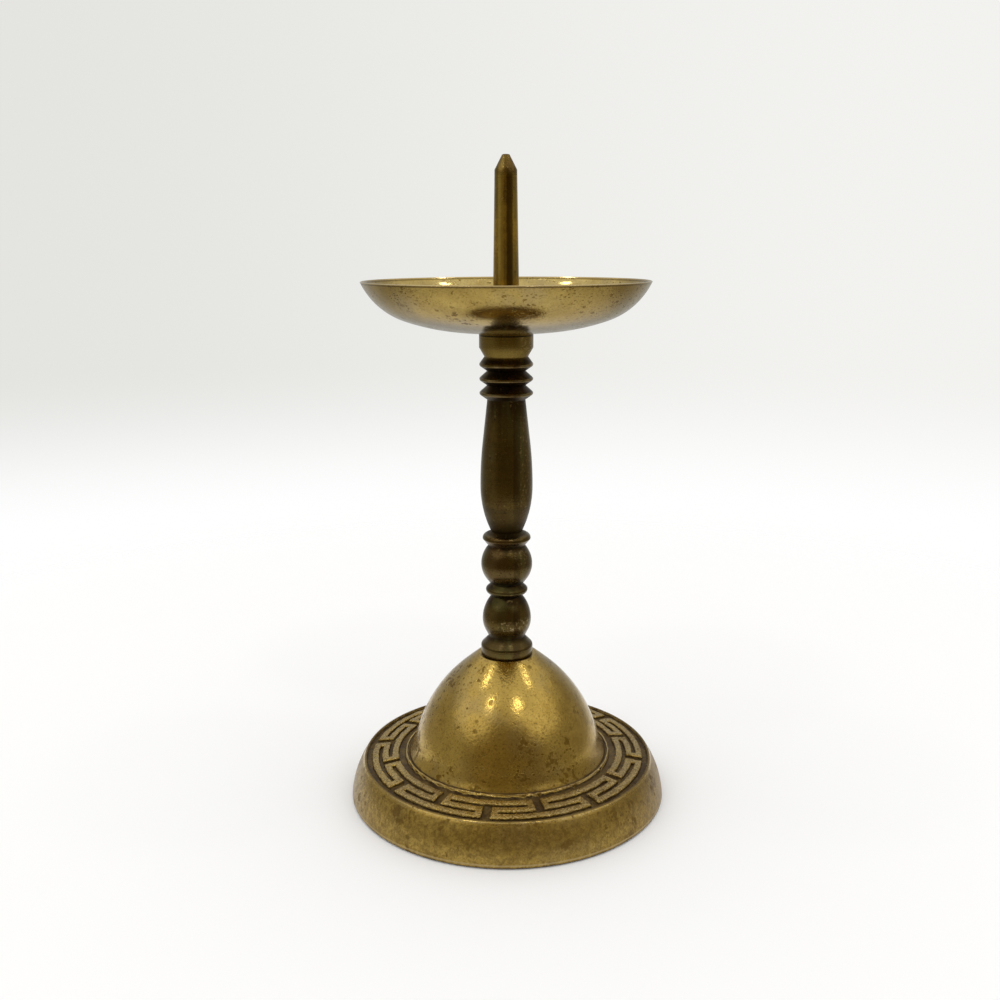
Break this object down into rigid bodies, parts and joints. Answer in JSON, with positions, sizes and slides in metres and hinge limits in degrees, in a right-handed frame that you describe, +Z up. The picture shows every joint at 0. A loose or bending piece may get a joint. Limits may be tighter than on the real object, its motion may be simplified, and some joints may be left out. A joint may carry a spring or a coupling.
{
  "type": "pricket candle stand",
  "caption": "Brass candle stand with a domed base banded by a raised key pattern, a turned baluster column, a shallow drip pan and a pointed pricket that holds the candle.",
  "frame": {"origin": "centre of the foot's underside, on the turning axis", "axes": "+Z up along the turning axis to the pricket's point; -Y faces the picture's camera"},
  "size_m": [0.0714, 0.0714, 0.1408],
  "materials": {
    "base_brass": "aged satin with brown specks",
    "pan_brass": "worn bright satin with brown specks",
    "dark_brass": "dark olive-brown patina",
    "fastener_steel": "dull"
  },
  "bodies": {
    "root": {"base_casting": "base_brass", "column": "dark_brass", "drip_pan": "pan_brass", "pricket": "dark_brass", "base_washer": "fastener_steel", "base_nut": "fastener_steel"}
  },
  "joints": []
}
